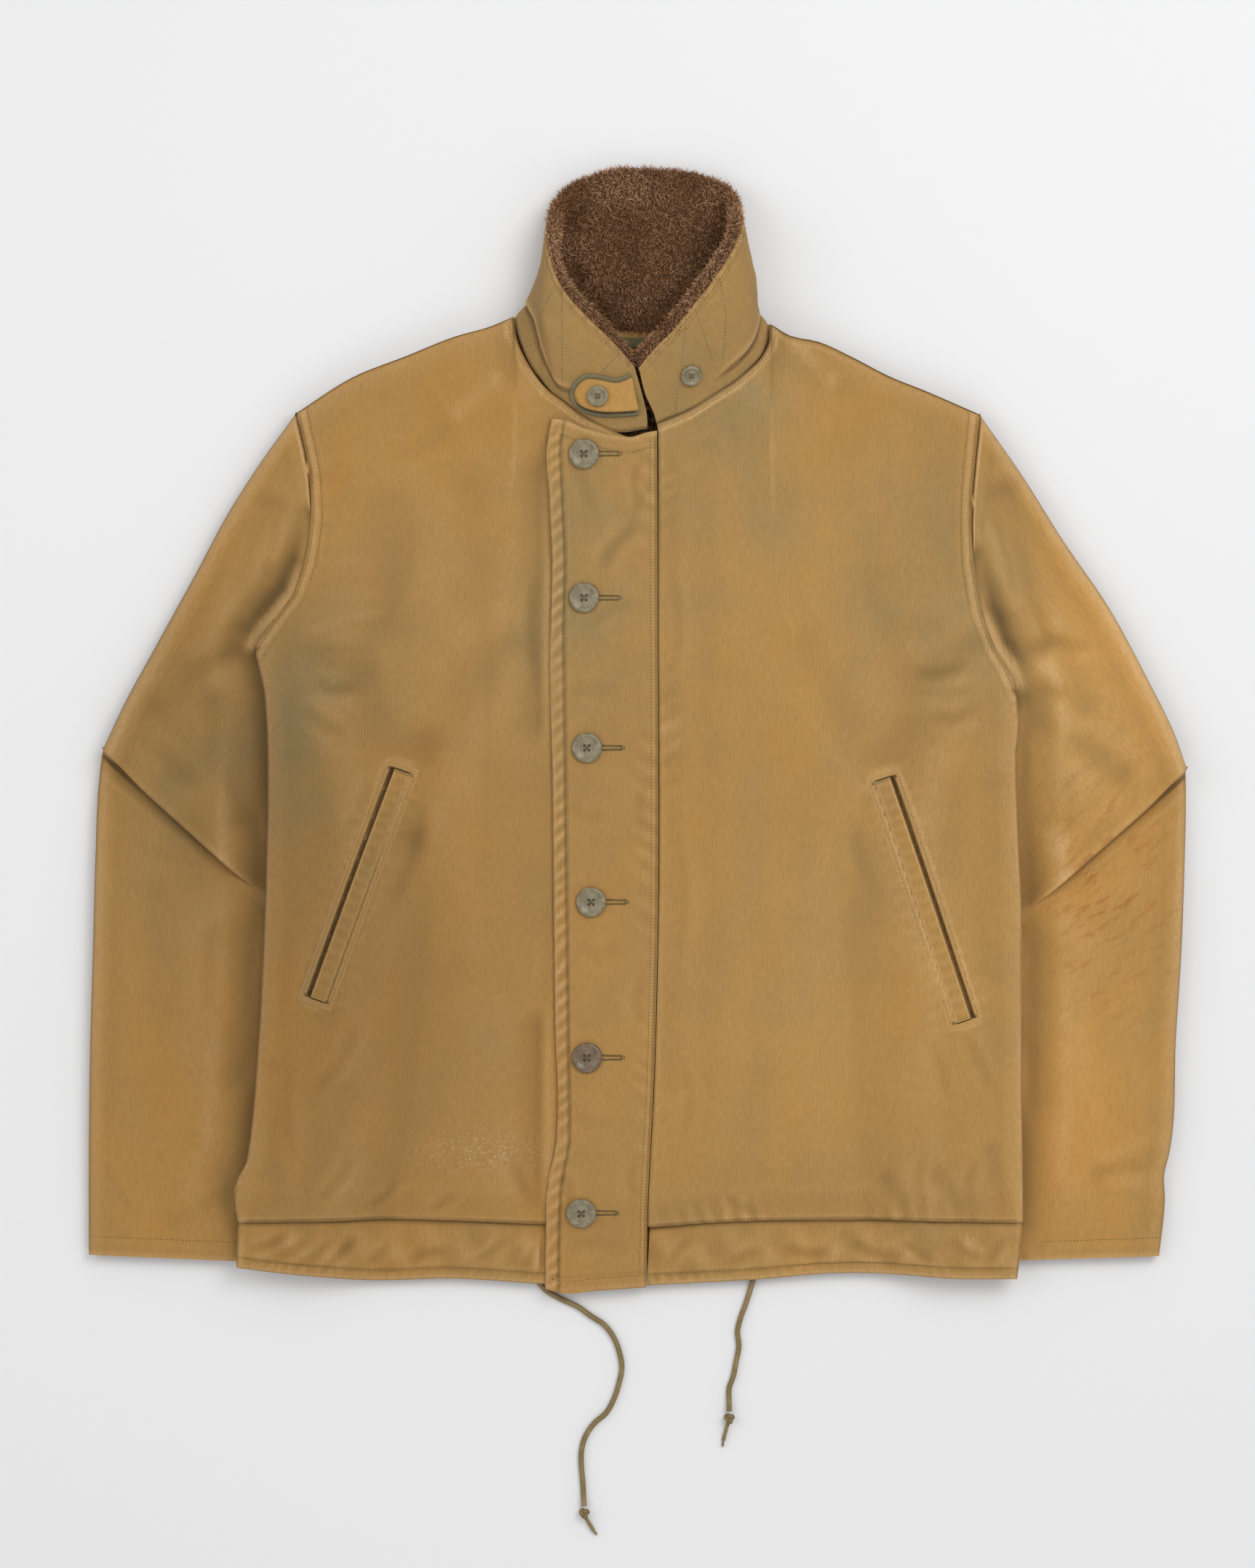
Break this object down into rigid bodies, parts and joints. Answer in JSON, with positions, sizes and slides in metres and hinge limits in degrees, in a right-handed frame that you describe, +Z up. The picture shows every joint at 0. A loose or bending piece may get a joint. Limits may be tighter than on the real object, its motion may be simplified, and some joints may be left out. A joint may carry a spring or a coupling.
{
  "type": "deck jacket",
  "caption": "Pile-lined cotton deck jacket laid flat, front up, with an open standing collar, storm flap, slanted welt pockets and a drawcord hem.",
  "frame": {"origin": "middle of the jacket's outline on the surface that it lies on, without the drawcord's free ends", "axes": "+Z up off the surface, +Y towards the collar, +X towards the wearer's left sleeve"},
  "size_m": [0.786, 0.9798, 0.052],
  "materials": {
    "shell_cloth": "corded cotton, faded and rubbed",
    "pile": "deep brown wool pile",
    "tab_cloth": "unfaded tan cotton",
    "binding": "olive bias tape",
    "button": "polished olive-brown, worn",
    "cord": "braided cotton cord"
  },
  "bodies": {
    "root": {"back_panel": "shell_cloth", "front_right_panel": "shell_cloth", "front_left_panel": "shell_cloth", "placket": "shell_cloth", "sleeve_right": "shell_cloth", "sleeve_left": "shell_cloth", "hem_band_right": "shell_cloth", "hem_band_left": "shell_cloth", "hem_band_back": "shell_cloth", "collar_shell": "shell_cloth", "pocket_welt_right": "shell_cloth", "pocket_welt_left": "shell_cloth", "hanger_strip": "shell_cloth", "collar_lining": "pile", "throat_tab": "tab_cloth", "throat_tab_binding": "binding", "button_front_1": "button", "button_front_2": "button", "button_front_3": "button", "button_front_4": "button", "button_front_5": "button", "button_front_6": "button", "button_tab": "button", "button_collar": "button", "drawcord_right": "cord", "drawcord_left": "cord", "drawcord_knot_right": "cord", "drawcord_knot_left": "cord", "drawcord_tip_right": "cord", "drawcord_tip_left": "cord"}
  },
  "joints": []
}
